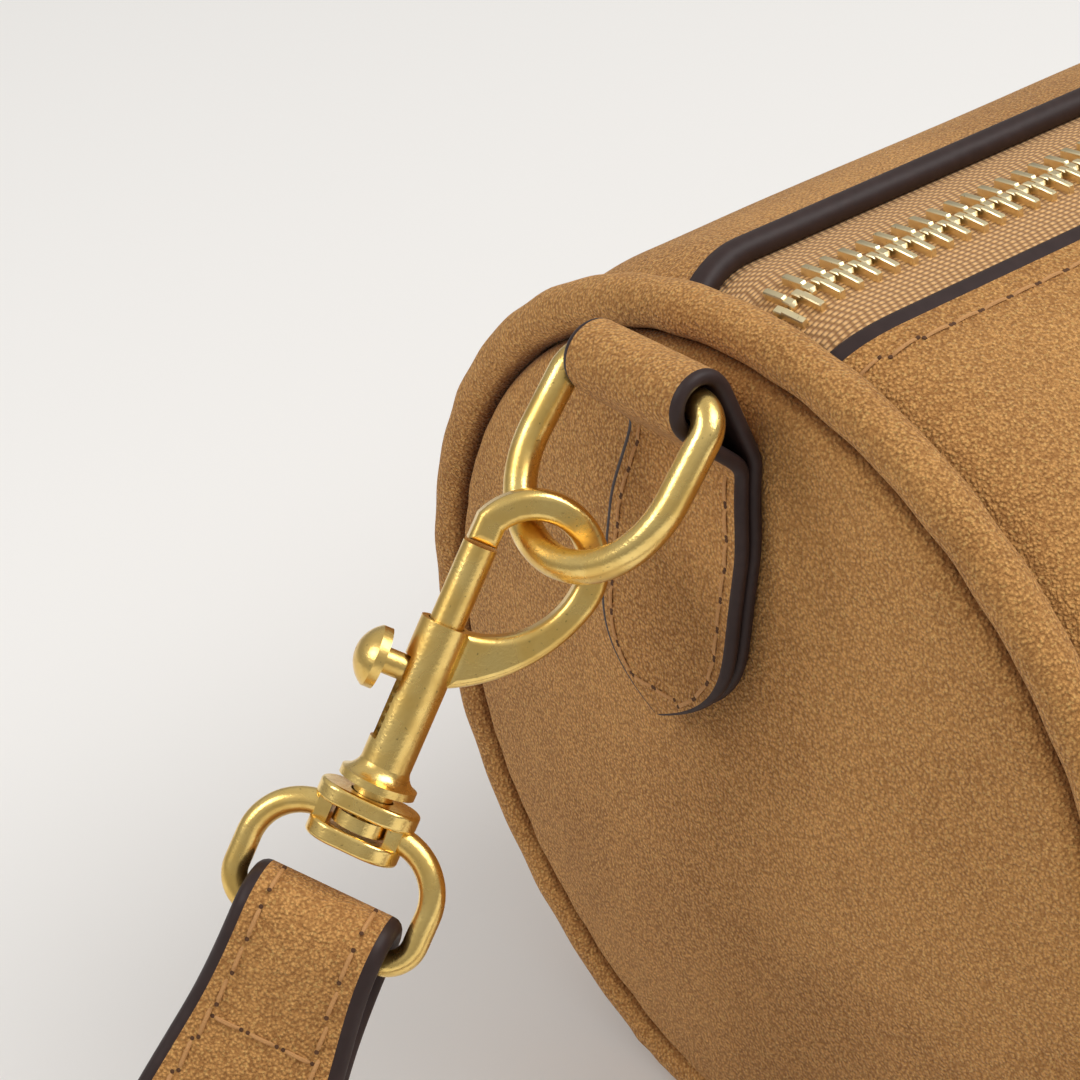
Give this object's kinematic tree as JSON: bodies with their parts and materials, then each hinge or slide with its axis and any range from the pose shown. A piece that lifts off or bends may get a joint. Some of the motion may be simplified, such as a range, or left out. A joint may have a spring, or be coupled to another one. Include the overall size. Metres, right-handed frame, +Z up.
{
  "type": "barrel bag",
  "caption": "Barrel bag in soft leather with round domed ends, piped seams, a top zip, ring tabs, swivel snap hooks and a clip-on shoulder strap.",
  "frame": {"origin": "on the ground under the middle of the barrel, on the flat underside", "axes": "+X along the barrel from the pictured end to the other, +Y to the back, +Z up through the zip"},
  "size_m": [0.4306, 0.2002, 0.116],
  "materials": {
    "leather": "soft nubuck, tan, with dark painted cut edges",
    "lining": "plain woven lining",
    "stiffener": "pressed fibre sheet",
    "padding": "soft foam padding",
    "cord": "twisted cotton cord",
    "zip_tape": "woven tape",
    "zip_metal": "polished pale brass",
    "hardware": "brushed antique brass",
    "spring_steel": "bare spring wire"
  },
  "bodies": {
    "bag": {"body_panel": "leather", "body_stiffener": "stiffener", "body_lining": "lining", "zip_tape_front": "zip_tape", "zip_tape_back": "zip_tape", "zip_teeth_front": "zip_metal", "zip_teeth_back": "zip_metal", "strap": "leather", "left_end_panel": "leather", "left_end_pad": "padding", "left_end_lining": "lining", "left_piping": "leather", "left_piping_cord": "cord", "left_ring_tab": "leather", "right_end_panel": "leather", "right_end_pad": "padding", "right_end_lining": "lining", "right_piping": "leather", "right_piping_cord": "cord", "right_ring_tab": "leather"},
    "slider": {"zip_slider": "zip_metal"},
    "pull": {"zip_pull": "zip_metal"},
    "left_ring": {"left_d_ring": "hardware"},
    "left_hook": {"left_hook_body": "hardware", "left_swivel_rivet": "hardware", "left_bolt_spring": "spring_steel"},
    "left_bolt": {"left_hook_bolt": "hardware", "left_thumb_knob": "hardware"},
    "left_eye": {"left_swivel_eye": "hardware"},
    "right_ring": {"right_d_ring": "hardware"},
    "right_hook": {"right_hook_body": "hardware", "right_swivel_rivet": "hardware", "right_bolt_spring": "spring_steel"},
    "right_bolt": {"right_hook_bolt": "hardware", "right_thumb_knob": "hardware"},
    "right_eye": {"right_swivel_eye": "hardware"}
  },
  "joints": [
    {"name": "zip_slide", "type": "slide", "parent": "bag", "child": "slider", "axis": [-1, 0, 0], "range_m": [0, 0.161], "deforming": ["zip_tape_front", "zip_tape_back", "zip_teeth_front", "zip_teeth_back"]},
    {"name": "pull_swing", "type": "hinge", "parent": "slider", "child": "pull", "pos_m": [0.0809, 0, 0.11355], "axis": [0, 1, 0], "range_deg": [0, 150]},
    {"name": "left_hook_swing", "type": "hinge", "parent": "bag", "child": "left_hook", "pos_m": [-0.1112, 0, 0.1079], "axis": [0, 1, 0], "range_deg": [-12, 60], "deforming": ["strap"]},
    {"name": "left_ring_swing", "type": "hinge", "parent": "bag", "child": "left_ring", "pos_m": [-0.1112, 0, 0.1079], "axis": [0, 1, 0], "range_deg": [-12, 60]},
    {"name": "left_eye_swivel", "type": "hinge", "parent": "left_hook", "child": "left_eye", "pos_m": [-0.13437, 0.00553, 0.08773], "axis": [0.6018, 0, 0.7986], "range_deg": [-45, 45], "deforming": ["strap"]},
    {"name": "left_bolt_slide", "type": "slide", "parent": "left_hook", "child": "left_bolt", "axis": [-0.6018, 0, -0.7986], "range_m": [0, 0.006], "stiffness_N_per_m": 200, "springref_m": -0.003, "deforming": ["left_bolt_spring"]},
    {"name": "right_hook_swing", "type": "hinge", "parent": "bag", "child": "right_hook", "pos_m": [0.1112, 0, 0.1079], "axis": [0, -1, 0], "range_deg": [-12, 60], "deforming": ["strap"]},
    {"name": "right_ring_swing", "type": "hinge", "parent": "bag", "child": "right_ring", "pos_m": [0.1112, 0, 0.1079], "axis": [0, -1, 0], "range_deg": [-12, 60]},
    {"name": "right_eye_swivel", "type": "hinge", "parent": "right_hook", "child": "right_eye", "pos_m": [0.13437, 0.00553, 0.08773], "axis": [0.6018, 0, -0.7986], "range_deg": [-45, 45], "deforming": ["strap"]},
    {"name": "right_bolt_slide", "type": "slide", "parent": "right_hook", "child": "right_bolt", "axis": [0.6018, 0, -0.7986], "range_m": [0, 0.006], "stiffness_N_per_m": 200, "springref_m": -0.003, "deforming": ["right_bolt_spring"]}
  ],
  "couplings": [
    {"joint": "left_ring_swing", "follows": "left_hook_swing", "ratio": 1},
    {"joint": "right_ring_swing", "follows": "right_hook_swing", "ratio": 1}
  ]
}
